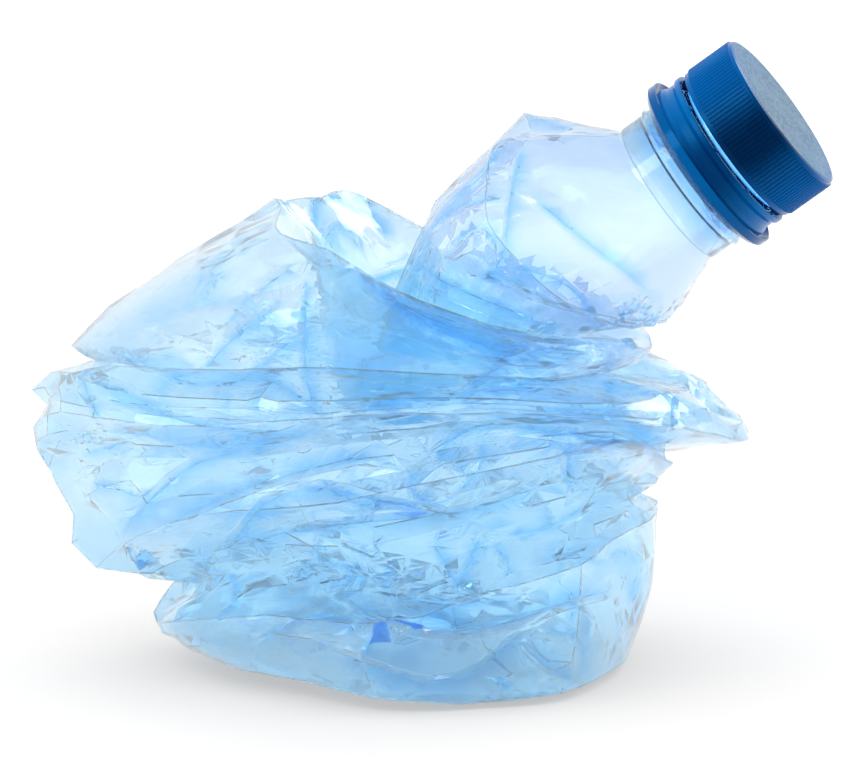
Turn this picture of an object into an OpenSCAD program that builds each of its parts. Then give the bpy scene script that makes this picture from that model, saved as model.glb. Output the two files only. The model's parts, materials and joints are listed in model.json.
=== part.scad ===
// A 1.5 litre PET water bottle, trodden flat along its height, with its screw cap
// put back on. Millimetres, Z up, origin on the floor under the middle of the part.
// The wall is a loft through fold rings: closed curves that follow each ridge and
// each tuck of the crushed tube, from the foot up to the neck.

/* [Wall] */
// Thickness of the blown wall
wall = 0.36; // [0.3:0.02:0.6]
// Depth of the diamond dents that run round the folds
dent_depth = 4.6; // [0:0.1:4.8]
// Number of dents round the tube
dent_count = 14; // [10:4:18]
// Height of the small wrinkles between two folds
wrinkle = 3.4; // [0:0.1:3.6]
// How far the fold lines sway up and down
sway = 2; // [0:0.1:2.4]
// How far the fold lines rise and fall on the front and back
roll = 2.5; // [0:0.1:3]
// Facets round the tube
around = 48; // [40:4:56]

/* [Foot] */
// Radius of the pushed-up middle of the base, across
dome_r = 17; // [12:1:18]
// Height of the pushed-up middle of the base
dome_h = 6; // [3:1:9]

/* [Neck] */
// Outside of the plain finish, under the thread
finish_d = 24.9; // [24.5:0.1:25.4]
// Wall of the finish
neck_wall = 1.6; // [1.3:0.05:1.9]
// How far the bead that holds the tamper band down stands out of the finish
bead_h = 1.45; // [1.2:0.05:1.6]
// How far the support ring stands out past the tamper band
ring_out = 1.5; // [1:0.1:2.5]
// How far the rim of the support ring curls up
ring_curl = 1.1; // [0.4:0.1:1.3]
// Thickness of the support ring
ring_t = 1.5; // [1:0.1:2]
// Outside of the collar below the support ring
collar_d = 27; // [26:0.1:28]
// Length of the collar below the support ring
collar_h = 6.8; // [5:0.1:9]
// Height of the rim above the top of the support ring
finish_h = 14.5; // [14.2:0.1:16]
// Lean of the neck from upright
neck_lean = 53.3; // [45:0.1:60]
// Turn of the leaning neck towards the front
neck_turn = 8; // [0:1:15]

/* [Tamper band] */
// Height of the tamper band
band_h = 4.9; // [4.2:0.1:5]
// Wall of the tamper band
band_wall = 0.9; // [0.7:0.1:1.1]
// How far the band's waist is drawn in
band_waist = 0.45; // [0.2:0.05:0.6]
// Number of bridges that tore when the cap was first opened
bridge_count = 10; // [6:1:16]
// Width of a torn bridge
bridge_w = 0.8; // [0.5:0.1:1.2]

/* [Cap] */
// Height of the cap
cap_h = 9.9; // [9:0.1:10]
// Wall of the cap's skirt, without the ribs
cap_wall = 1; // [0.8:0.05:1.1]
// Thickness of the cap's top
cap_top = 1.4; // [1:0.1:1.8]
// Number of grip ribs
rib_count = 120; // [60:10:140]
// Height of a grip rib
rib_h = 0.3; // [0.2:0.05:0.4]
// Reach of the seal that plugs the bore
plug_h = 2.4; // [1.5:0.1:3.5]

/* [Fits] */
// Room for the thread between the finish and the cap's skirt
thread_gap = 1.35; // [1.2:0.05:1.6]
// Gap between the cap's lid or plug and the neck
cap_gap = 0.2; // [0.1:0.05:0.3]
// Gap between the finish and the catch inside the tamper band
catch_gap = 0.95; // [0.6:0.05:1.2]
// Gap between the tamper band and the neck's support ring
band_gap = 0.2; // [0.1:0.05:0.3]

/* [Hidden] */
$fn = 96;

// Where the collar leaves the shoulder, and the way the neck points from there.
neck_foot = [40.5, -3, 83];
neck_axis = [sin(neck_lean) * cos(neck_turn), -sin(neck_lean) * sin(neck_turn), cos(neck_lean)];
neck_side = [sin(neck_turn), cos(neck_turn), 0];
neck_up = cross(neck_axis, neck_side);

// Radii of the neck and of the cap's skirt.
plain = finish_d / 2;
bore = plain - neck_wall;
bead = plain + bead_h;
band_in = bead + band_gap;
band = band_in + band_wall;
ring = band + ring_out;
skirt_in = plain + thread_gap;
skirt = skirt_in + cap_wall;

// Heights along the neck, from its foot up.
ring_at = collar_h;
finish_at = ring_at + ring_t;
rim_at = finish_at + finish_h;
band_at = finish_at + band_gap;
band_top = band_at + band_h;
bead_at = band_at + 2.2;
lid_at = rim_at + cap_gap;
cap_end = lid_at + cap_top;
cap_at = cap_end - cap_h;

// A fold ring is four points: left, front, right and back. The last number says how
// much the fold is dented. Heights are in z, and y runs from the front to the back.
function neck_ring(r, h) = let (c = neck_foot + h * neck_axis)
    [c + r * neck_up, c - r * neck_side, c - r * neck_up, c + r * neck_side, 0];

foot_x = 5;
seat_r = (collar_d - 0.3) / 2;
seat_in = 2;
fold_thick = 2;

folds = [
    // Base: the edge of the dome, the foot ring it stands on, and the heel
    [[foot_x - dome_r, 0, 0], [foot_x, -dome_r, 0], [foot_x + dome_r, 0, 0], [foot_x, dome_r, 0], 0],
    [[-24, 0, 0], [5, -31, 0], [31, 0, 0], [5, 30, 0], 0],
    [[-38, 0, 2.8], [0, -39, 2], [33.8, 0, 1.6], [0, 37, 2.2], 0.5],
    // Ridge of the bottom bulge, and the tuck above it
    [[-48.6, 1, 9.4], [-2, -42, 19], [38.5, 2, 26.8], [0, 39, 21], 1],
    [[-41, 2, 15], [0, -21, 23], [35, 2, 29.4], [0, 16, 25], 1],
    // Ridge of the second bulge, and the shallow tuck above it
    [[-58.5, 2, 17.5], [4, -38, 41], [39.8, 2, 33.2], [0, 34, 31], 1],
    [[-65, 2, 31], [-2, -29, 45.5], [36.5, 2, 36], [0, 22, 39], 0.8],
    // Widest ridge with the pointed corner on the right, then its upper edge
    [[-69.2, 2, 41.5], [-3, -37, 50], [54.6, 2, 38.8], [0, 35, 45], 1],
    [[-66, 2, 50.5], [-3, -35, 52.5], [43.5, 2, 48.3], [0, 33, 51], 0.7],
    // Tuck under the smooth upper body, and the foot of that body
    [[-57, 2, 52.8], [-6, -30, 54.5], [27, 2, 51.1], [0, 25, 55.5], 0.7],
    [[-62.6, 2, 54.3], [-8, -36, 57.5], [35.5, 2, 52.9], [-2, 37, 59], 0.6],
    // Top of the upper body, its rim, and the wall that was pushed down inside it
    [[-40, 3, 71.5], [-10, -34, 66], [38, 2, 55.2], [0, 35, 69], 0.3],
    [[-26, 4, 78.6], [-2, -27, 69.5], [35.5, 2, 56.6], [-4, 29, 72], 0.7],
    [[-20, 4, 73], [-1, -23.5, 65], [30, 2, 56.2], [-2, 25, 68], 0.6],
    [[-16, 4, 46], [2, -12, 50], [23, 2, 57.2], [4, 13, 53], 0],
    // Folded edge of the shoulder, and the wide end of its cone
    [[4, 5, 77], [6, -17, 72], [34, 0, 59], [9, 18, 74], 0.5],
    [[17, 2, 93.5], [12.5, -23, 77], [40, -3, 60.2], [24, 20, 80], 0.4],
    neck_ring(seat_r, -0.8),
    neck_ring(seat_r, seat_in)
];
// Steps up each band between two rings, and how far the band swells outwards.
steps = [1, 2, 4, 3, 5, 3, 3, 3, 2, 2, 5, 2, 2, 4, 4, 4, 6, 1];
swell = [0, 0, 1.5, 0, 0.5, 0.8, 0.5, 0.6, 0, 0, 2, 0, 0, 0, 0, 0.3, 0.5, 0];

function wave(t) = 4 * abs(t - floor(t) - 0.5) - 1;
function mix(a, b, t) = a + (b - a) * t;

// How a crushed sheet buckles: heights from -1 to 1 at the corners of a grid of flat
// facets, joined by straight lines. a is the angle round the tube, v the row of facets.
sizes = rands(0.35, 1, 64 * dent_count, 5);
function corner(i, j) = let (n = (i + 9 * dent_count) % dent_count)
    ((n + j) % 2 == 0 ? 1 : -1) * sizes[n + dent_count * (j % 64)];
function buckle(a, v) =
    let (u = dent_count * a / 360, i = floor(u), j = floor(v))
    mix(mix(corner(i, j), corner(i + 1, j), u - i),
        mix(corner(i, j + 1), corner(i + 1, j + 1), u - i), v - j);
function unit(v) = v / norm(v);

// A point on a fold ring: on the curve through the ring's four points, pushed in or out
// by the buckling, and lifted or lowered so that no fold runs level round the body.
function ring_point(k, a) =
    let (f = folds[k],
         middle = (f[0] + f[2]) / 2,
         side = sin(a) < 0 ? f[1] : f[3],
         reach = cos(a) * (f[2] - f[0]) / 2 + abs(sin(a)) * (side - middle),
         dent = dent_depth * f[4] * abs(sin(a)) * buckle(a, 2 * k),
         lift = f[4] * (sway * (1 - cos(a)) / 2 * wave(a / 90 + 0.08 * k + 0.2 * sin(2 * a + 50))
             + roll * abs(sin(a)) * wave(a / 120 + 0.09 * k)))
    middle + reach + dent * unit(reach) + [0, 0, lift];

function band_point(k, t, a) =
    let (low = ring_point(k, a), high = ring_point(k + 1, a),
         p = mix(low, high, t),
         middle = mix(folds[k][0] + folds[k][2], folds[k + 1][0] + folds[k + 1][2], t) / 2,
         depth = mix(folds[k][4], folds[k + 1][4], t),
         room = min(1, norm(high - low) / 12),
         crease = wrinkle * depth * buckle(a + 11 * k, 2 * k + 50 + 3 * t),
         out = 4 * t * (1 - t) * room * (swell[k] + crease))
    p + out * unit(p - middle);

last = len(folds) - 1;
outer = [
    for (k = [0 : last - 1], s = [0 : steps[k] - 1])
        [for (i = [0 : around - 1]) band_point(k, s / steps[k], 360 * i / around)],
    [for (i = [0 : around - 1]) ring_point(last, 360 * i / around)]
];
rows = len(outer);

// The inner side of the wall is the outer side moved in along the mean normal of the
// four faces round each point, further at a sharp fold, so that the wall stays thick.
function face_normal(j, i) =
    let (a = outer[j][i], b = outer[j][(i + 1) % around],
         c = outer[j + 1][(i + 1) % around], d = outer[j + 1][i])
    unit(cross(c - a, d - b));
normals = [for (j = [0 : rows - 2]) [for (i = [0 : around - 1]) face_normal(j, i)]];
function inner_point(j, i) =
    let (below = max(j - 1, 0), above = min(j, rows - 2), before = (i + around - 1) % around,
         total = normals[below][i] + normals[below][before] + normals[above][i] + normals[above][before],
         here = outer[j][i],
         to_next = norm(outer[min(j + 1, rows - 1)][i] - here),
         to_last = norm(outer[below][i] - here),
         depth = wall * min(fold_thick, 4 / norm(total)))
    here - max(wall, min(depth, 0.5 * to_next, 0.5 * to_last)) * unit(total);
inner = [for (j = [0 : rows - 1])
    [for (i = [0 : around - 1]) j == 0 ? outer[j][i] + [0, 0, wall] : inner_point(j, i)]];

function flatten(lists) = [for (l = lists) each l];
function strip(first, flip) = [for (j = [0 : rows - 2], i = [0 : around - 1], half = [0, 1])
    let (n = (i + 1) % around,
         a = first + j * around + i, b = first + j * around + n,
         c = a + around, d = b + around,
         short = norm(outer[j][i] - outer[j + 1][n]) < norm(outer[j][n] - outer[j + 1][i]),
         tri = short ? (half == 0 ? [a, d, b] : [a, c, d]) : (half == 0 ? [a, c, b] : [b, c, d]))
    flip ? [tri[2], tri[1], tri[0]] : tri];

// The origin lies on the floor, under the middle of the part: halfway between the
// outermost folds, with the rim of the cap as the outermost thing on the right.
across = [for (row = outer, p = row) p.x];
through = [for (row = outer, p = row) p.y];
soft = 0.2;
rim_reach = (cap_end - soft) * neck_axis.x + (skirt - soft) * sqrt(1 - pow(neck_axis.x, 2));
middle = [
    (min(across) + max(max(across), neck_foot.x + rim_reach)) / 2,
    (min(through) + max(through)) / 2,
    0
];

module on_neck() translate(neck_foot - middle) rotate([0, neck_lean, -neck_turn]) children();

module crushed_wall() {
    count = rows * around;
    dome_top = 2 * count;
    points = concat(flatten(outer), flatten(inner),
        [[foot_x, 0, dome_h], [foot_x, 0, dome_h + wall]]);
    dome = [for (i = [0 : around - 1]) let (n = (i + 1) % around)
        each [[i, dome_top, n], [count + n, dome_top + 1, count + i]]];
    lip = [for (i = [0 : around - 1]) let (n = (i + 1) % around, j = (rows - 1) * around)
        each [[j + i, count + j + i, count + j + n], [j + i, count + j + n, j + n]]];
    translate(-middle) polyhedron(points, concat(strip(0, false), strip(count, true), dome, lip));
}

// What the blow mould left as it was: collar, support ring, bead and rim. The foot of
// the collar swallows the end of the wall.
module neck_finish() {
    collar = collar_d / 2;
    on_neck() rotate_extrude(convexity = 4) polygon([
        [seat_r - wall - 0.6, 0], [collar, 0],
        [collar, ring_at - 2.6], [collar + 0.5, ring_at - 2.1], [collar, ring_at - 1.6],
        [collar, ring_at - 0.5], [collar + 0.5, ring_at],
        [ring - 0.8, ring_at + 0.4], [ring, ring_at + ring_curl], [ring, finish_at + ring_curl - 0.1],
        [ring - 0.3, finish_at + ring_curl], [ring - 0.8, finish_at + 0.3], [ring - 1.4, finish_at],
        [plain, finish_at], [plain, bead_at],
        [bead, bead_at + 0.3], [bead, bead_at + 0.7], [plain, bead_at + 1.9],
        [plain, rim_at - 0.5], [plain - 0.5, rim_at],
        [bore + 0.3, rim_at], [bore, rim_at - 0.3], [bore, ring_at]
    ]);
}

module bottle() color([0.55, 0.79, 1, 0.6]) union() {
    crushed_wall();
    neck_finish();
}

// The ring that snapped off the cap. A fold inside it catches under the neck's bead.
module tamper_band() {
    waist = band - band_waist;
    catch = plain + catch_gap;
    color([0.01, 0.34, 0.66]) on_neck() union() {
        rotate_extrude(convexity = 4) polygon([
            [band_in, band_at + 2], [catch, band_at + 0.6], [catch, band_at],
            [band - soft, band_at], [band, band_at + 0.3], [band, band_at + 1],
            [waist, band_at + 1.8], [waist, band_top - 1.6],
            [band, band_top - 0.9], [band, band_top - soft], [band - soft, band_top],
            [band_in, band_top]
        ]);
        for (i = [0 : bridge_count - 1])
            rotate([0, 0, 360 * (i + 0.25) / bridge_count])
                translate([band_in + 0.1, -bridge_w / 2, band_top - 0.1])
                    cube([0.5, bridge_w, 0.45]);
    }
}

// The screw cap: skirt with grip ribs, lid, and the ring that plugs the bore.
module cap() {
    plug = bore - cap_gap;
    color([0.02, 0.21, 0.42]) on_neck() union() {
        rotate_extrude(convexity = 4) polygon([
            [skirt_in, cap_at], [skirt, cap_at], [skirt, cap_end - 0.7],
            [skirt - soft, cap_end - soft], [skirt - 0.8, cap_end], [0, cap_end], [0, lid_at],
            [plug - 1, lid_at], [plug - 0.8, rim_at - plug_h], [plug - soft, rim_at - plug_h],
            [plug, rim_at - plug_h + 0.5], [plug, lid_at], [skirt_in, lid_at]
        ]);
        translate([0, 0, cap_at + 0.9]) linear_extrude(cap_h - 1.8) grip();
    }
}

// Plan of the grip: a ring whose outside runs out and in once for each rib.
module grip() {
    rib = [[0.08, 0.02], [0.32, rib_h], [0.5, rib_h], [0.82, 0.02]];
    difference() {
        polygon([for (i = [0 : rib_count - 1], p = rib)
            let (a = 360 * (i + p.x) / rib_count)
            (skirt + p.y) * [cos(a), sin(a)]]);
        circle(r = skirt - cap_wall / 2);
    }
}

bottle();
tamper_band();
cap();
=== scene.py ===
# %% [markdown]
# # A crushed drink bottle
#
# This lesson dresses a bottle of clear blue PET that someone has trodden flat and left lying about.
# The construction comes from a CAD model with three nodes: the bottle, the tamper band and the cap.
# They are already at their real size and place, so everything here is worked out from them.
# The looks are all in the thin wall: light goes through it, bends at each crease, and turns a deeper
# blue wherever several layers lie behind one another.

# %% Load the frame
import json
import math

import bmesh
import bpy
import numpy as np
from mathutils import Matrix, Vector


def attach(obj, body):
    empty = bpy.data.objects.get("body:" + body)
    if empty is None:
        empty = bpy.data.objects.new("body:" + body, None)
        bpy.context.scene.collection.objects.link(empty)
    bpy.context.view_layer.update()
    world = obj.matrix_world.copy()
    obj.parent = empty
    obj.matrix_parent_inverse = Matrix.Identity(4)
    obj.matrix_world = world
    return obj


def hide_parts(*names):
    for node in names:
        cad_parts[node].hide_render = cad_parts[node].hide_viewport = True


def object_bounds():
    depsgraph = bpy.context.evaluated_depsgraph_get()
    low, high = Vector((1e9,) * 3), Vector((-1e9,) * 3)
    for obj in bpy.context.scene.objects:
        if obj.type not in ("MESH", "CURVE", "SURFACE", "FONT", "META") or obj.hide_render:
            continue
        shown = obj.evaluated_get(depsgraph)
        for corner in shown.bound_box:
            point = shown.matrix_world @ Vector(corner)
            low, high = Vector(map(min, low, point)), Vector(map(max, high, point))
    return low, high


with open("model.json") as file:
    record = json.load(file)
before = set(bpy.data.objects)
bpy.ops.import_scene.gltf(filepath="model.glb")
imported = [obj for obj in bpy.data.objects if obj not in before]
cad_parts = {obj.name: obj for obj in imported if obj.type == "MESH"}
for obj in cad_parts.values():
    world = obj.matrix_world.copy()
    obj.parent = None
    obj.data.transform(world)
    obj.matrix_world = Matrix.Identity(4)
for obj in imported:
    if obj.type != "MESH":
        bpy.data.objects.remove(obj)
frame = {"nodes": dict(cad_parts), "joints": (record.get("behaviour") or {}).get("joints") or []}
cad_low, cad_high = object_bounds()
MM = 0.001
print("CAD box in mm:", [round(x / MM, 1) for x in (*cad_low, *cad_high)])

# %% [markdown]
# ## Where the neck is
#
# The cap turns about the neck's own axis, and the record gives that joint its place and direction.
# Any point of the neck can then be written as a height along the axis and a distance from it, however
# much the neck leans. One direction across the axis, up the lean, tells the neck's upper side from
# its lower one.

# %% The neck's own directions
joint = frame["joints"][0]
NECK_FOOT = Vector(joint["pos_m"])
NECK_AXIS = Vector(joint["axis"]).normalized()
NECK_UP = (Vector((0, 0, 1)) - NECK_AXIS.z * NECK_AXIS).normalized()


def node_points(name):
    """A CAD node's vertices as an array, in metres."""
    mesh = frame["nodes"][name].data
    points = np.empty(len(mesh.vertices) * 3, np.float32)
    mesh.vertices.foreach_get("co", points)
    return points.reshape(-1, 3).astype(float)


def along_neck(points):
    """Height along the neck's axis and distance from it, for each point."""
    reach = points - np.array(NECK_FOOT)
    height = reach @ np.array(NECK_AXIS)
    return height, np.linalg.norm(reach - np.outer(height, NECK_AXIS), axis=1)


def neck_span(name):
    """Lowest and highest point of a node along the neck, and its smallest and largest radius."""
    height, radius = along_neck(node_points(name))
    return height.min(), height.max(), radius.min(), radius.max()


for name in ("tamper_band", "cap"):
    print(name, "heights and radii in mm:", [round(x / MM, 2) for x in neck_span(name)])

# %% [markdown]
# ## The crushed wall, part 1: a sheet that can be creased
#
# A trodden bottle is a stiff sheet with no stretch in it. It can't bend smoothly in two directions
# at once, so it breaks into flat facets that meet in sharp creases. Sculpting would give soft dents,
# and a noise texture would give lumps. Instead, each crease is a plane that first cuts real edges
# into both sides of the wall, and then lifts the sheet beside them like a tent. The lift depends
# only on where a point is, so the inner and outer side of the wall move together and the wall keeps
# its thickness.

# %% Take the wall as one welded mesh
def welded(name):
    """Points and triangles of a CAD node, with its doubled vertices made one."""
    work = bmesh.new()
    work.from_mesh(frame["nodes"][name].data)
    bmesh.ops.remove_doubles(work, verts=work.verts, dist=1e-6)
    bmesh.ops.triangulate(work, faces=work.faces)
    points = np.array([v.co for v in work.verts], float)
    tris = np.array([[v.index for v in f.verts] for f in work.faces], int)
    work.free()
    return points, tris


def unit(rows):
    """Each row as a direction."""
    return rows / np.maximum(np.linalg.norm(rows, axis=-1, keepdims=True), 1e-12)


def face_normals(points, tris):
    """Direction that each triangle faces, and its area."""
    a, b, c = (points[tris[:, k]] for k in range(3))
    cross = np.cross(b - a, c - a)
    return unit(cross), np.linalg.norm(cross, axis=1) / 2


wall_points, wall_tris = welded("bottle")
print("wall:", len(wall_points), "points,", len(wall_tris), "triangles")


# %% Cut edges where a crease crosses the sheet
ON_THE_LINE = 0.04 * MM


def cut(points, tris, side, near):
    """Splits the triangles that a crease crosses.

    side is each point's distance from the crease, less than 0 on one side of it. near is true for
    the points that the crease reaches. A point that nearly lies on it is left where it is, so no
    sliver is cut off beside it.
    """
    touched = near[tris].any(axis=1)
    rest, tris = tris[~touched], tris[touched]
    side = np.where(np.abs(side) < ON_THE_LINE, 0.0, side)
    edges = np.sort(np.concatenate([tris[:, [0, 1]], tris[:, [1, 2]], tris[:, [2, 0]]]), axis=1)
    keys, first, back = np.unique(edges[:, 0] * len(points) + edges[:, 1],
                                  return_index=True, return_inverse=True)
    back = back.reshape(3, -1).T
    a, b = edges[first, 0], edges[first, 1]
    crossed = (side[a] * side[b] < 0) & (near[a] | near[b])
    share = side[a[crossed]] / (side[a[crossed]] - side[b[crossed]])
    fresh = points[a[crossed]] + share[:, None] * (points[b[crossed]] - points[a[crossed]])
    number = np.full(len(keys), -1)
    number[crossed] = len(points) + np.arange(crossed.sum())
    middle = number[back]
    count = (middle >= 0).sum(axis=1)
    made = [rest, tris[count == 0]]
    for k in range(3):
        one = (count == 1) & (middle[:, k] >= 0)
        p, q, r = (tris[one][:, (k + n) % 3] for n in range(3))
        m = middle[one, k]
        made += [np.stack([p, m, r], 1), np.stack([m, q, r], 1)]
        two = (count == 2) & (middle[:, k] < 0)
        p, q, r = (tris[two][:, (k + n) % 3] for n in range(3))
        m, n = middle[two, (k + 1) % 3], middle[two, (k + 2) % 3]
        made += [np.stack([p, q, m], 1), np.stack([p, m, n], 1), np.stack([n, m, r], 1)]
    return np.concatenate([points, fresh]), np.concatenate(made)


# %% [markdown]
# ## The crushed wall, part 2: the drawn folds
#
# The folds give this bottle its face, so they are drawn one by one, as a person would sketch them on
# paper held up in front of it: millimetres to the right of the middle, and up. Each is a smooth line
# through a few points, and it is cast straight onto the wall behind the paper. The wall falls away
# steeply on one side of the line and gently on the other, as a pressed fold does. The back gets the
# same kind of folds from the same sketch, turned round and shifted.

# %% The sketch
TILT = math.radians(11)
PAPER_UP = np.array([0, math.sin(TILT), math.cos(TILT)])
PAPER_OUT = np.array([0, -math.cos(TILT), math.sin(TILT)])
SKETCH = {
    "long": [
        [(-58, 17), (-53, 23), (-47, 29), (-41, 34), (-33, 37), (-20, 38)],
        [(-50, 22), (-40, 27), (-30, 31), (-20, 34), (-10, 36), (-4, 34)],
        [(-40, 17), (-34, 21), (-28, 28), (-19, 31), (-10, 29), (0, 27), (6, 26)],
        [(-36, 20), (-20, 24), (0, 26), (10, 28), (18, 31), (24, 36)],
        [(-4, 34), (0, 36), (6, 40), (13, 41), (21, 40), (31, 39), (40, 37), (47, 35)],
        [(6, 42), (15, 43), (25, 43), (34, 41), (42, 37), (52, 37)],
        [(-60, 40), (-50, 40), (-40, 38), (-30, 38), (-20, 40), (-14, 40)],
        [(-62, 50), (-52, 47), (-43, 42), (-34, 41), (-20, 40)],
        [(-58, 55), (-49, 52), (-40, 48), (-30, 49), (-20, 47)],
        [(-18, 41), (-12, 44), (-4, 46), (4, 46), (10, 50), (16, 54), (24, 54), (32, 52)],
        [(4, 46), (14, 48), (24, 49), (36, 52)],
        [(-20, 69), (-11, 67), (-3, 61), (8, 57), (18, 54), (31, 53)],
        [(-14, 70), (-4, 69), (4, 65), (16, 60), (26, 56), (34, 55)],
        [(-20, 5), (-10, 1), (0, -2), (8, 0), (14, 5), (21, 9)],
        [(-20, 17), (-14, 12), (-8, 9), (0, 7), (8, 7), (16, 9), (24, 12), (33, 14), (37, 18)],
    ],
    "short": [
        [(-32, 51), (-26, 49), (-21, 45), (-17, 42)],
        [(-20, 69), (-21, 60), (-21, 50), (-18, 41)],
        [(-9, 67), (0, 64), (10, 60), (20, 57), (30, 55)],
        [(-12, 14), (-4, 12), (4, 11), (12, 12), (19, 11)],
        [(0, 22), (3, 17), (5, 13)],
        [(9, 23), (6, 17), (4, 12)],
        [(10, 22), (13, 18), (13, 14), (9, 12)],
        [(16, 6), (18, 2), (22, -1), (26, -1)],
        [(18, 7), (24, 6), (26, 2), (25, -3)],
        [(10, 23), (18, 23), (27, 27), (38, 29)],
        [(24, 40), (23, 34), (24, 29)],
        [(31, 53), (30, 45), (31, 40)],
        [(41, 38), (41, 45), (44, 51)],
        [(-66, 33), (-62, 34), (-58, 37), (-49, 39)],
        [(-63, 27), (-60, 30), (-54, 31), (-50, 29), (-46, 31)],
        [(-64, 28), (-62, 24), (-56, 20)],
        [(-60, 55), (-59, 48), (-55, 41)],
        [(-55, 46), (-48, 44), (-42, 44)],
        [(-40, 49), (-33, 56), (-25, 62)],
        [(-34, 47), (-28, 52), (-21, 57)],
        [(6, 66), (12, 69), (14, 82), (17, 92)],
        [(2, 78), (8, 83), (13, 90), (17, 92)],
        [(-2, 73), (4, 78), (14, 80)],
        [(17, 92), (25, 91), (34, 93)],
        [(15, 82), (22, 76), (31, 69), (40, 62)],
        [(13, 69), (22, 66), (28, 60), (31, 56)],
        [(3, 72), (9, 75), (12, 70)],
        [(-40, 13), (-35, 16), (-33, 11), (-38, 7)],
        [(-31, 3), (-24, 8), (-16, 9), (-10, 6)],
        [(-16, 5), (-9, 9), (-11, 3), (-13, -2)],
        [(24, 20), (29, 18), (34, 20), (36, 16)],
        [(22, 12), (27, 9), (26, 4)],
        [(-20, 22), (-17, 18), (-12, 17)],
        [(-3, 35), (-3, 30), (2, 27)],
        [(0, 36), (5, 35), (6, 32)],
        [(9, 40), (8, 34), (3, 29)],
    ],
}
print({kind: len(lines) for kind, lines in SKETCH.items()}, "lines drawn")


# %% Make folds from the lines
# For each kind: the width of the steep side and of the gentle side, and the lift, all in mm.
FOLD_SIZES = {
    "long": ((1.0, 1.5), (4.0, 6.5), (1.1, 1.8)),
    "short": ((0.8, 1.2), (2.5, 4.5), (0.6, 1.0)),
}
INWARD, OUTWARD = 0.35, 0.65
FRONT, BACK = 1, -1
rng = np.random.default_rng(41)


def smooth_line(knots, steps=5):
    """A Catmull-Rom line through the knots."""
    k = np.array([knots[0], *knots, knots[-1]], float)
    share = np.arange(steps)[:, None] / steps
    parts = [0.5 * ((2 * k[i]) + (k[i + 1] - k[i - 1]) * share
                    + (2 * k[i - 1] - 5 * k[i] + 4 * k[i + 1] - k[i + 2]) * share ** 2
                    + (3 * k[i] - k[i - 1] - 3 * k[i + 1] + k[i + 2]) * share ** 3)
             for i in range(1, len(k) - 2)]
    return np.concatenate([*parts, k[-1:]]) * MM


def fold(kind, knots, face):
    """One fold: its line, its sizes, the half it is on, and which side of the line is the steep one."""
    steep, gentle, lift = (rng.uniform(*pair) * MM for pair in FOLD_SIZES[kind])
    return {"line": smooth_line(knots), "steep": steep, "gentle": gentle, "face": face,
            "lift": lift * rng.choice([-1, 1], p=[INWARD, OUTWARD]), "flip": rng.choice([-1, 1])}


def turned_round(knots):
    """The same line for the back: mirrored, shifted, and bent a little so that it isn't a copy."""
    shift, share, bend, wave = -8, 0.92, 1.5, 9
    return [(shift - share * right, up + bend * math.sin(right / wave)) for right, up in knots]


folds = [fold(kind, knots, FRONT) for kind, lines in SKETCH.items() for knots in lines]
folds += [fold(kind, turned_round(knots), BACK) for kind, lines in SKETCH.items() for knots in lines]
print(len(folds), "folds")


# %% Measure a fold
EDGE_ON, FADE = 2 * MM, 8 * MM


def on_paper(points):
    """Each point as it shows on the paper: how far right, and how far up."""
    return np.stack([points[:, 0], points @ PAPER_UP], 1)


def beside(f, points):
    """How far each point lies to one side of the fold's line, and its share of the way along."""
    flat = on_paper(points)
    start, step = f["line"][:-1], np.diff(f["line"], axis=0)
    length = np.linalg.norm(step, axis=1)
    reach = flat[:, None] - start
    share = np.clip((reach * step).sum(2) / length ** 2, 0, 1)
    gap = np.linalg.norm(reach - share[..., None] * step, axis=2)
    best = gap.argmin(axis=1)
    row = np.arange(len(points))
    turn = step[best, 0] * reach[row, best, 1] - step[best, 1] * reach[row, best, 0]
    walked = np.concatenate([[0], np.cumsum(length)])
    along = (walked[best] + share[row, best] * length[best]) / walked[-1]
    return gap[row, best] * np.sign(turn) * f["flip"], along


def facing(f, points):
    """1 on the half of the body that the fold is cast on, fading to 0 before the other half."""
    return np.clip((-f["face"] * points[:, 1] - EDGE_ON) / FADE, 0, 1)


def fold_height(f, points):
    """The fold's shape, from 0 to 1 at its line."""
    shape = facing(f, points)
    near = np.flatnonzero(shape)
    side, along = beside(f, points[near])
    tent = np.where(side > 0, 1 - side / f["gentle"], 1 + side / f["steep"])
    ends = np.clip(np.minimum(along, 1 - along) * 6, 0, 1)
    shape[near] *= np.clip(tent, 0, 1) * ends
    return shape


# %% [markdown]
# ## The crushed wall, part 3: small creases
#
# Between the folds the sheet is full of small creases that run every way, and in a few places it
# has gone into crumples. Each is a short straight line on the wall where it lies.

# %% Choose places on the wall
SHOULDER_END = -9 * MM
FOOT = 2.5 * MM
CRUSHED_TOP = 54 * MM
normals, areas = face_normals(wall_points, wall_tris)
centres = wall_points[wall_tris].mean(axis=1)
neck_heights, _ = along_neck(centres)
open_wall = (neck_heights < SHOULDER_END) & (centres[:, 2] > FOOT)
crushed = centres[:, 2] < CRUSHED_TOP
print(open_wall.sum(), "triangles may be creased, and", (open_wall & crushed).sum(), "lie low")


def crease(place, out, run, length, width, lift):
    """One crease: a point, the way out of the wall, the way it runs, its sizes and its lift."""
    run = unit(run - (run @ out) * out)
    return {"at": place, "out": out, "run": run, "across": np.cross(out, run),
            "length": length, "width": width, "lift": lift}


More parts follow.
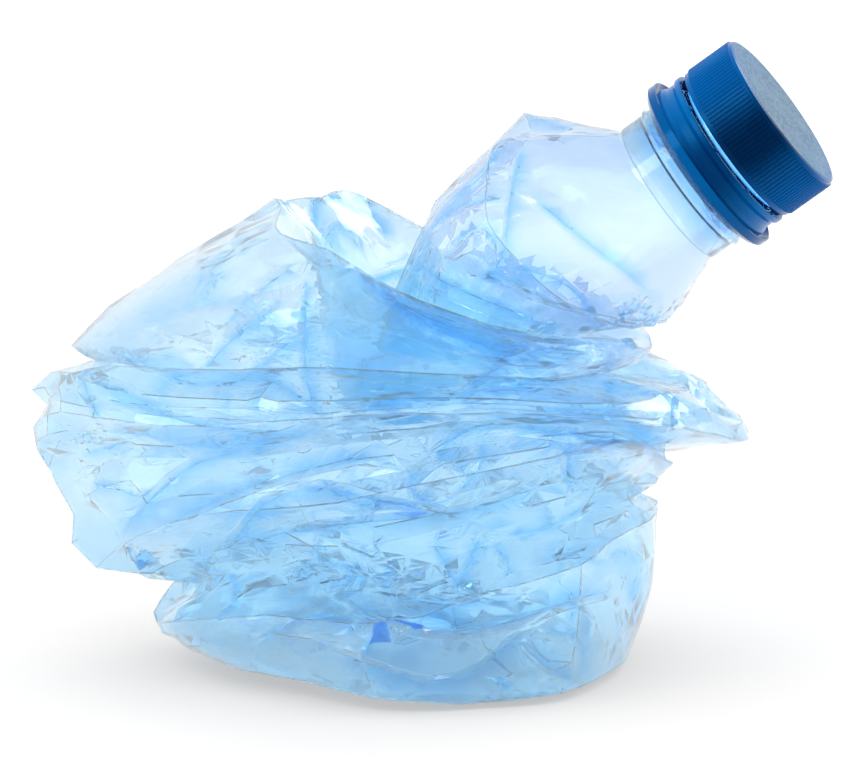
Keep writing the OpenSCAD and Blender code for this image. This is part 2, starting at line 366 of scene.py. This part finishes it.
def scattered(count, length, width, lift, tilt, where):
    """Creases at random places, each turned from level by up to tilt degrees. Sizes are in mm."""
    chance = areas * (open_wall & where)
    picks = rng.choice(len(areas), count, p=chance / chance.sum())
    found = []
    for i in picks:
        out = normals[i]
        level = unit(np.cross([0, 0, 1], out) + 1e-6)
        turn = math.radians(rng.uniform(-tilt, tilt))
        run = math.cos(turn) * level + math.sin(turn) * np.cross(out, level)
        long, wide, high = (rng.uniform(*pair) * MM for pair in (length, width, lift))
        found.append(crease(centres[i], out, run, long, wide, high * rng.choice([-1, 1])))
    return found


def crumpled(right, up, wide, high):
    """The front wall inside an oval of the sketch."""
    off_middle = on_paper(centres) / MM - (right, up)
    return (np.linalg.norm(off_middle / (wide, high), axis=1) < 1) & (centres[:, 1] < -EDGE_ON)


# %% Scatter the creases
# Each crumple is an oval of the sketch: right, up, half its width, half its height, and a count.
CRUMPLES = [(-54, 18, 6, 3, 12), (-13, 17, 9, 4, 20), (-2, 14, 10, 4, 16), (36, 59, 4, 5, 18),
            (10, -2, 3, 2, 5), (-58, 45, 4, 7, 8), (28, 34, 7, 6, 8)]
creases = scattered(14, (12, 26), (5, 9), (0.7, 1.3), 60, open_wall)
creases += scattered(34, (5, 12), (2.5, 4.5), (0.35, 0.8), 90, crushed)
creases += scattered(6, (6, 14), (3, 5), (0.3, 0.6), 90, ~crushed)
for *oval, count in CRUMPLES:
    creases += scattered(count, (1.6, 4), (0.7, 1.4), (0.35, 0.7), 90, crumpled(*oval))
print(len(creases), "creases")


# %% Measure a crease
def reach_of(c, points):
    """How far along, across and off the crease each point is, as shares of its sizes."""
    off = points - c["at"]
    depth = 3 * MM + 0.3 * c["width"]
    return off @ c["run"] / c["length"], off @ c["across"] / c["width"], off @ c["out"] / depth


def crease_height(c, points):
    """The crease's shape, from 0 to 1 at its line."""
    along, across, off = (np.abs(x) for x in reach_of(c, points))
    tent = np.clip(1 - across, 0, 1)
    return tent * np.clip(1 - along ** 2, 0, 1) * np.clip(1 - off ** 2, 0, 1) ** 2


# %% Cut the wall along the folds and creases
AROUND_FOLD, AT_FOLD, FAR = 12 * MM, 4 * MM, 1.0


def cut_along(f, at, points, tris):
    """Cuts real edges at one distance from the fold's line. Only points around it are measured."""
    least, most = f["line"].min(axis=0) - AROUND_FOLD, f["line"].max(axis=0) + AROUND_FOLD
    flat = on_paper(points)
    box = ((flat > least) & (flat < most)).all(axis=1) & (facing(f, points) > 0)
    side, along = np.full(len(points), FAR), np.zeros(len(points))
    side[box], along[box] = beside(f, points[box])
    near = (np.abs(side - at) < AT_FOLD) & (along > 0) & (along < 1)
    return cut(points, tris, side - at, near)


for f in folds:
    for at in (-f["steep"], 0, f["gentle"]):
        wall_points, wall_tris = cut_along(f, at, wall_points, wall_tris)
print("after the folds:", len(wall_points), "points,", len(wall_tris), "triangles")
for c in creases:
    for share in (-1, 0, 1):
        along, across, off = reach_of(c, wall_points)
        near = (np.abs(along) < 1.1) & (np.abs(across) < 1.3) & (np.abs(off) < 1)
        wall_points, wall_tris = cut(wall_points, wall_tris, (across - share) * c["width"], near)
print("after the creases:", len(wall_points), "points,", len(wall_tris), "triangles")

# %% [markdown]
# ## The crushed wall, part 4: lift it
#
# All the lifts are added up and made at once. They fade out towards the collar and the foot, because
# the thick neck and the ring that the bottle stands on weren't crushed. Each point also remembers how
# sharp a fold or crease is there, so that the finish can paint a deeper blue along it as painted shade.

# %% Lift the folds and creases
FADE_AT_NECK, FADE_AT_FOOT = 8 * MM, 5 * MM
crease_shapes = [crease_height(c, wall_points) for c in creases]
fold_shapes = [fold_height(f, wall_points) for f in folds]
moves = sum((c["lift"] * shape)[:, None] * c["out"] for c, shape in zip(creases, crease_shapes))
moves += sum((f["lift"] * f["face"] * shape)[:, None] * PAPER_OUT
             for f, shape in zip(folds, fold_shapes))
# How sharp the folds and creases are at each point, kept for the painted shade along them.
painted_crease_shade = np.clip(sum(shape ** 3 for shape in fold_shapes) + 0.6 * sum(crease_shapes), 0, 1)

neck_heights, _ = along_neck(wall_points)
keep = np.clip((SHOULDER_END - neck_heights) / FADE_AT_NECK, 0, 1)
keep *= np.clip((wall_points[:, 2] - 0.2 * MM) / FADE_AT_FOOT, 0, 1)
moves *= keep[:, None]
wall_points = np.clip(wall_points + moves, np.array(cad_low), np.array(cad_high))
print("largest move in mm:", round(np.linalg.norm(moves, axis=1).max() / MM, 2))


# %% Make the piece
def piece_from(name, points, tris):
    """A mesh object in the scene from points and faces."""
    mesh = bpy.data.meshes.new(name)
    mesh.from_pydata(points.tolist(), [], tris.tolist())
    mesh.validate()
    piece = bpy.data.objects.new(name, mesh)
    bpy.context.scene.collection.objects.link(piece)
    return piece


def smooth_by_angle(piece, crushed_degrees, open_degrees, level):
    """Smooth shading, with a hard edge where two faces meet at more than an angle.

    Above the level the wall was hardly crushed, so a larger bend there still counts as smooth.
    """
    mesh = piece.data
    mesh.shade_smooth()
    work = bmesh.new()
    work.from_mesh(mesh)
    for edge in work.edges:
        limit = math.radians(open_degrees if edge.verts[0].co.z > level else crushed_degrees)
        edge.smooth = not edge.is_manifold or edge.calc_face_angle(0) < limit
    hard = sum(not edge.smooth for edge in work.edges)
    work.to_mesh(mesh)
    work.free()
    return hard


shell = piece_from("bottle_shell", wall_points, wall_tris)
crease_shade_layer = shell.data.attributes.new("painted_crease_shade", "FLOAT", "POINT")
crease_shade_layer.data.foreach_set("value", painted_crease_shade.astype(np.float32))
print("hard edges:", smooth_by_angle(shell, 20, 36, 56 * MM), "of", len(shell.data.edges))


# %% [markdown]
# ## Finishes: a little language for shader maths
#
# A finish is a small program made of nodes. Writing every node and link by hand hides what it says,
# so a wrapped socket takes plain arithmetic here, and one method adds any other node. Every pattern
# is laid out in the piece's own coordinates, so it stays on the plastic when the cap turns.

# %% Write nodes as expressions
class Signal:
    """One node's output, which can be added, multiplied and so on."""

    def __init__(self, finish, socket):
        self.finish = finish
        self.socket = socket

    def maths(self, operation, *others):
        values = dict(enumerate((self, *others)))
        return self.finish.add("Math", {"operation": operation}, values)

    def __add__(self, other):
        return self.maths("ADD", other)

    def __mul__(self, other):
        return self.maths("MULTIPLY", other)

    def __sub__(self, other):
        return self.maths("SUBTRACT", other)

    def __rsub__(self, other):
        return self.finish.add("Math", {"operation": "SUBTRACT"}, {0: other, 1: self})

    __radd__ = __add__
    __rmul__ = __mul__

    def ramp(self, low, high, start=0.0, end=1.0):
        """Goes smoothly from start to end as this goes from low to high."""
        settings = {"interpolation_type": "SMOOTHSTEP"}
        return self.finish.add("MapRange", settings, {0: self, 1: low, 2: high, 3: start, 4: end})


class Finish:
    """An emptied node tree of a material or a world."""

    def __init__(self, holder):
        holder.use_nodes = True
        self.holder = holder
        self.tree = holder.node_tree
        self.tree.nodes.clear()

    def add(self, kind, settings=None, inputs=None, output=0):
        """Adds a node, makes its settings, fills its sockets and gives back one output."""
        node = self.tree.nodes.new("ShaderNode" + kind)
        for key, value in (settings or {}).items():
            setattr(node, key, value)
        for key, value in (inputs or {}).items():
            if isinstance(value, Signal):
                self.tree.links.new(value.socket, node.inputs[key])
            else:
                node.inputs[key].default_value = value
        return Signal(self, node.outputs[output] if node.outputs else None)

    def mix(self, share, first, second):
        """A colour between two others."""
        return self.add("Mix", {"data_type": "RGBA"}, {0: share, 6: first, 7: second}, 2)

    def place(self):
        """Where a point is on the piece, in metres."""
        return self.add("TexCoord", output=3)

    def neck_height(self):
        """How far along the neck's axis a point is."""
        off = self.add("VectorMath", {"operation": "SUBTRACT"}, {0: self.place(), 1: NECK_FOOT})
        return self.add("VectorMath", {"operation": "DOT_PRODUCT"}, {0: off, 1: NECK_AXIS}, 1)

    def neck_radius(self):
        """How far a point is from the neck's axis."""
        off = self.add("VectorMath", {"operation": "SUBTRACT"}, {0: self.place(), 1: NECK_FOOT})
        out = self.add("VectorMath", {"operation": "CROSS_PRODUCT"}, {0: off, 1: NECK_AXIS})
        return self.add("VectorMath", {"operation": "LENGTH"}, {0: out}, 1)

    def noise(self, size_mm, detail=2.0, rough=0.5, twist=0.0):
        """Soft noise, from 0 to 1, with patches about this many millimetres across."""
        sizes = {"Vector": self.place(), "Scale": 1 / (size_mm * MM), "Detail": detail,
                 "Roughness": rough, "Distortion": twist}
        return self.add("TexNoise", inputs=sizes)


def material(name):
    return Finish(bpy.data.materials.new(name))


# %% [markdown]
# ## Finish 1: clear blue PET
#
# Each wall that light goes through takes away a little red and green, so layers add up to a deeper
# blue by themselves. The thick neck and the wall that was pushed down inside the body take away more,
# so the colour is mixed from a few blues by place. Along the sharp folds and creases the wall is also
# painted a deeper blue, as painted shade.

# %% Blues of the bottle
PALE_BLUE = (0.80, 0.92, 1.0, 1)
SHOULDER_BLUE = (0.74, 0.855, 1.0, 1)
WALL_BLUE = (0.70, 0.885, 1.0, 1)
PANEL_BLUE = (0.62, 0.88, 1.0, 1)
BASE_BLUE = (0.58, 0.84, 1.0, 1)
NECK_BLUE = (0.58, 0.81, 1.0, 1)
COLLAR_BLUE = (0.30, 0.64, 1.0, 1)
# A deeper blue painted along the folds and creases: painted shade.
FOLD_PAINTED_SHADE = (0.26, 0.64, 1.0, 1)
RING_BLUE = (0.0, 0.09, 0.32, 1)
# Colour of the painted glow in the slit between the band and the cap.
SLIT_PAINTED_GLOW = (0.10, 0.42, 0.95, 1)
BLUE_GLINT = (0.05, 0.50, 1.0, 1)


# %% Where each blue is
def pushed_in(x, y, z):
    """1 on the wall that was pushed down inside the body, fading to 0 at its edges."""
    inside = y.maths("ABSOLUTE").ramp(22 * MM, 19 * MM)
    across = x.ramp(-23 * MM, -21 * MM) * x.ramp(36 * MM, 4 * MM)
    under_rim = (z + 0.31 * x).ramp(69 * MM, 66 * MM)
    return inside * z.ramp(43 * MM, 45 * MM) * across * under_rim


def wall_blue(pet):
    """The wall's colour, from the base up to the collar, with painted shade along the folds."""
    x, y, z = (pet.add("SeparateXYZ", inputs={0: pet.place()}, output=k) for k in range(3))
    height = pet.neck_height()
    lower = pet.mix(z.ramp(8 * MM, 34 * MM), BASE_BLUE, WALL_BLUE)
    upper = pet.mix(height.ramp(-42 * MM, -28 * MM), PALE_BLUE, SHOULDER_BLUE)
    wall = pet.mix(z.ramp(52 * MM, 60 * MM), lower, upper)
    wall = pet.mix(height.ramp(-3 * MM, 3 * MM), wall, NECK_BLUE)
    wall = pet.mix(height.ramp(1 * MM, 6.4 * MM), wall, COLLAR_BLUE)
    painted_crease_shade = pet.add("Attribute", {"attribute_name": "painted_crease_shade"}, output=2)
    # Painted shade: a deeper blue along the sharp folds and creases.
    wall = pet.mix(painted_crease_shade * 0.85, wall, FOLD_PAINTED_SHADE)
    return pet.mix(pushed_in(x, y, z), wall, PANEL_BLUE)


# %% [markdown]
# Four things make this plastic look real. It is glossy, with dull scuffs here and there. A little of
# the light goes straight on, which keeps creases from turning black where light would be caught
# between two walls. The support ring is so thick that it shows nearly as deep a blue as the cap. And
# the slit between the band and the cap has a painted glow, which stands for light that runs up inside
# the clear neck.
#
# Light has to get through to the floor, so shadow rays pass the wall as a pale blue veil and don't
# bend. The slit's painted glow lights nothing else, so Cycles is told not to aim light at it, which
# saves time.

# %% The PET finish
RING_EDGE = 13.1 * MM
RING_FOOT = 6.4 * MM
slit_low, slit_high = neck_span("tamper_band")[1] - 0.35 * MM, neck_span("cap")[0]


def clear_pet(name):
    """Clear blue PET, with the support ring and the slit's painted glow in the same finish."""
    pet = material(name)
    height, radius = pet.neck_height(), pet.neck_radius()
    ripple = pet.noise(14, 0.0)
    bump = pet.add("Bump", inputs={"Strength": 0.1, "Distance": 1 * MM, "Height": ripple})
    scuff = pet.noise(5, 1.0, 0.65).ramp(0.58, 0.72)
    # Painted glow in the slit between the band and the cap, standing for light that runs up the neck.
    slit = height.ramp(slit_low, slit_low + 0.2 * MM) * height.ramp(slit_high, slit_high - 0.2 * MM)
    wall = pet.add("BsdfPrincipled", inputs={
        "Base Color": wall_blue(pet), "Roughness": 0.13 * scuff, "IOR": 1.57,
        "Transmission Weight": 1.0, "Alpha": 0.88, "Normal": bump,
        "Emission Color": pet.mix(slit, (0, 0, 0, 1), SLIT_PAINTED_GLOW), "Emission Strength": 0.9})
    ring = pet.add("BsdfPrincipled", inputs={
        "Base Color": RING_BLUE, "Roughness": 0.12, "IOR": 1.5, "Specular IOR Level": 0.4,
        "Specular Tint": BLUE_GLINT})
    on_ring = radius.ramp(RING_EDGE, RING_EDGE + 0.3 * MM) * height.ramp(RING_FOOT, RING_FOOT + 0.4 * MM)
    body = pet.add("MixShader", inputs={0: on_ring, 1: wall, 2: ring})
    veil = pet.add("BsdfTransparent", inputs={"Color": (0.975, 0.99, 1.0, 1)})
    shadow_ray = pet.add("LightPath", output=1)
    surface = pet.add("MixShader", inputs={0: shadow_ray, 1: body, 2: veil})
    pet.add("OutputMaterial", inputs={"Surface": surface})
    pet.holder.cycles.emission_sampling = "NONE"
    return pet.holder


shell.data.materials.append(clear_pet("clear_blue_pet_finish"))
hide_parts("bottle")
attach(shell, "bottle_body")
print("bottle_shell:", len(shell.data.polygons), "triangles, in", shell.data.materials[0].name)

# %% [markdown]
# ## Finish 2: the cap and its band
#
# Both are moulded in a deep, glossy blue. Across the middle the colour is painted darker, as painted
# shade, and towards the upper and lower side it is painted brighter, as painted highlights. The cap's
# ribs are polished by hands. Its lid is a dull, greyish disc full of fine speckles and rubbed spots,
# where the pale grey is partly matte, frosted plastic and partly a painted sheen.

# %% Blue polypropylene
# Painted shade and painted highlights for the cap and the band.
CAP_PAINTED_SHADE, CAP_PAINTED_HIGHLIGHT = (0.0, 0.014, 0.07, 1), (0.0, 0.12, 0.42, 1)
BAND_PAINTED_SHADE, BAND_PAINTED_HIGHLIGHT = (0.0, 0.03, 0.14, 1), (0.0, 0.16, 0.50, 1)


def closure_painted_shading(pp, cloud, deep, bright):
    """Painted shade across the middle, painted highlights at the upper and lower side, soft clouds
    between.
    """
    off = pp.add("VectorMath", {"operation": "SUBTRACT"}, {0: pp.place(), 1: NECK_FOOT})
    above = pp.add("VectorMath", {"operation": "DOT_PRODUCT"}, {0: off, 1: NECK_UP}, 1)
    # Painted light and shade: darker across the middle, brighter towards the upper and lower side.
    share = above.maths("ABSOLUTE").ramp(1 * MM, 14 * MM) + 0.35 * (cloud - 0.5)
    return pp.mix(share, deep, bright)


def moulded(pp, colour, rough, grain_depth):
    """Joins a colour and a roughness into one glossy plastic with a fine moulded grain."""
    grain = pp.noise(0.35, 2.0)
    bump = pp.add("Bump", inputs={"Strength": 0.3, "Distance": grain_depth, "Height": grain})
    body = pp.add("BsdfPrincipled", inputs={
        "Base Color": colour, "Roughness": rough, "IOR": 1.5, "Specular IOR Level": 0.28,
        "Specular Tint": BLUE_GLINT, "Normal": bump})
    pp.add("OutputMaterial", inputs={"Surface": body})
    return pp.holder


# %% The cap, with its worn lid and painted sheen
# The lid's pale grey is partly its matte, frosted plastic and partly a painted sheen. The rubbed spots
# are wear.
LID_MATTE_AND_SHEEN, LID_SPECKLE = (0.12, 0.24, 0.38, 1), (0.30, 0.44, 0.57, 1)
LID_RUBBED = (0.36, 0.50, 0.62, 1)
_, lid_height, _, skirt_radius = neck_span("cap")
cap_plastic = material("cap_plastic_finish")
colour = closure_painted_shading(cap_plastic, cap_plastic.noise(6, 3.0), CAP_PAINTED_SHADE, CAP_PAINTED_HIGHLIGHT)
on_lid = (cap_plastic.neck_height().ramp(lid_height - 0.35 * MM, lid_height - 0.1 * MM)
          * cap_plastic.neck_radius().ramp(skirt_radius - 0.9 * MM, skirt_radius - 1.5 * MM))
speckle = cap_plastic.noise(0.7, 4.0, 0.7).ramp(0.40, 0.62)
rubbed = cap_plastic.noise(5, 5.0, 0.6).ramp(0.45, 0.75)
lid_frost_sheen_and_wear = cap_plastic.mix(rubbed * 0.5, cap_plastic.mix(speckle, LID_MATTE_AND_SHEEN, LID_SPECKLE), LID_RUBBED)
cap_finish = moulded(cap_plastic, cap_plastic.mix(on_lid * 0.8, colour, lid_frost_sheen_and_wear),
                     0.22 + 0.3 * on_lid, 0.05 * MM)

# %% The tamper band
band_plastic = material("band_plastic_finish")
cloud = band_plastic.noise(6, 3.0)
colour = closure_painted_shading(band_plastic, cloud, BAND_PAINTED_SHADE, BAND_PAINTED_HIGHLIGHT)
band_finish = moulded(band_plastic, colour, 0.18 + 0.1 * cloud, 0.03 * MM)

for name, finish in (("cap", cap_finish), ("tamper_band", band_finish)):
    for slot in frame["nodes"][name].material_slots:
        slot.material = finish
    print(name, "wears", finish.name)

# %% [markdown]
# ## The studio
#
# A white floor, a pale room that is white near the horizon and a little bluer overhead, and two
# large soft lamps. What the camera sees through or in the plastic is the same white. The floor's own
# glow is only for the rays that see it, so it puts no more light on the bottle, and its shadow stays.

# %% Rays that see
def seeing(finish):
    """1 for rays from the camera, mirrored in gloss or passed through plastic, and 0 for light."""
    camera_ray, glossy_ray, through_ray = (finish.add("LightPath", output=k) for k in (0, 3, 6))
    return camera_ray.maths("MAXIMUM", glossy_ray).maths("MAXIMUM", through_ray), through_ray


# %% Floor
REACH = 4.0
UNDER_FOOT = 0.1 * MM
corners = [(-REACH, -REACH, 0), (REACH, -REACH, 0), (REACH, REACH, 0), (-REACH, REACH, 0)]
floor_mesh = bpy.data.meshes.new("floor")
floor_mesh.from_pydata(corners, [], [(0, 1, 2, 3)])
floor = bpy.data.objects.new("floor", floor_mesh)
floor.location.z = -UNDER_FOOT
bpy.context.scene.collection.objects.link(floor)

paper = material("floor_paper")
seen, through = seeing(paper)
far = paper.add("VectorMath", {"operation": "LENGTH"}, {0: paper.place()}, 1)
matte = paper.add("BsdfDiffuse", inputs={"Color": (0.8, 0.8, 0.8, 1)})
glow = paper.add("Emission", inputs={
    "Color": (1, 1, 1, 1), "Strength": seen * far.ramp(0.06, 0.6, 0.22, 0.38) + through * 0.10})
paper.add("OutputMaterial", inputs={"Surface": paper.add("AddShader", inputs={0: matte, 1: glow})})
paper.holder.cycles.emission_sampling = "NONE"
floor_mesh.materials.append(paper.holder)
print("floor:", 2 * REACH, "m square,", UNDER_FOOT / MM, "mm under the foot")

# %% Room light
ROOM_LIGHT = 0.8
HORIZON_WHITE, OVERHEAD_BLUE = (1, 1, 1, 1), (0.62, 0.82, 1, 1)
room = Finish(bpy.data.worlds.new("room"))
bpy.context.scene.world = room.holder
upward = room.add("SeparateXYZ", inputs={0: room.add("TexCoord", output=0)}, output=2)
seen, _ = seeing(room)
level = seen * upward.ramp(0.25, 0.75, 1.0, 0.7) + (1 - seen) * ROOM_LIGHT
sky = room.mix(upward.ramp(0.15, 0.6) * seen, HORIZON_WHITE, OVERHEAD_BLUE)
backdrop = room.add("Background", inputs={0: sky, 1: level})
room.add("OutputWorld", inputs={"Surface": backdrop})
print("room light:", ROOM_LIGHT)


# %% Soft lamps
def soft_lamp(name, place, target, width, watts):
    """A square softbox at a place, turned to the target."""
    light = bpy.data.lights.new(name, "AREA")
    light.size = width
    light.energy = watts
    lamp = bpy.data.objects.new(name, light)
    lamp.location = place
    lamp.rotation_euler = (Vector(target) - Vector(place)).to_track_quat("-Z", "Y").to_euler()
    bpy.context.scene.collection.objects.link(lamp)
    print(name, "lamp:", watts, "W,", width, "m wide")


size = cad_high - cad_low
middle = (cad_low + cad_high) / 2
soft_lamp("key", (-0.5, -0.5, 0.7), middle, 0.5, 3)
soft_lamp("rim", (0.5, 0.5, 0.6), middle, 0.4, 2)

# %% [markdown]
# ## Camera
#
# A long lens from the front, a little above the object, so that it looks nearly flat. It looks down
# by the same angle at which the paper of the sketch was held up.

# %% Place the camera
LENS = 300
SENSOR = 36
MARGIN = 1.076
AIM_HEIGHT = 0.455
aim = Vector((0, middle.y, AIM_HEIGHT * cad_high.z))
view_width = MARGIN * size.x
back = Vector(PAPER_OUT)
lens = bpy.data.cameras.new("camera")
lens.lens = LENS
lens.sensor_width = SENSOR
lens.clip_end = 20
camera = bpy.data.objects.new("camera", lens)
camera.location = aim + back * (view_width * LENS / SENSOR)
camera.rotation_euler = (-back).to_track_quat("-Z", "Y").to_euler()
bpy.context.scene.collection.objects.link(camera)
bpy.context.scene.camera = camera
print("camera:", round((camera.location - aim).length, 2), "m away")

# %% [markdown]
# ## How far light is followed
#
# Light crosses many layers of plastic here and is thrown back inside some of them. If it is dropped
# too early, the creases turn grey, so it is followed for many steps. Caustics, the bright patterns
# that bent light draws on the floor, would only add noise.

# %% How the picture is developed
STEPS = 24
STRAIGHT_STEPS = 20
scene = bpy.context.scene
scene.view_settings.view_transform = "Standard"
scene.cycles.max_bounces = STEPS
scene.cycles.transmission_bounces = STEPS
scene.cycles.glossy_bounces = STEPS
scene.cycles.transparent_max_bounces = STRAIGHT_STEPS
scene.cycles.volume_bounces = 0
scene.cycles.caustics_reflective = False
scene.cycles.caustics_refractive = False
print("light is followed for", STEPS, "steps")
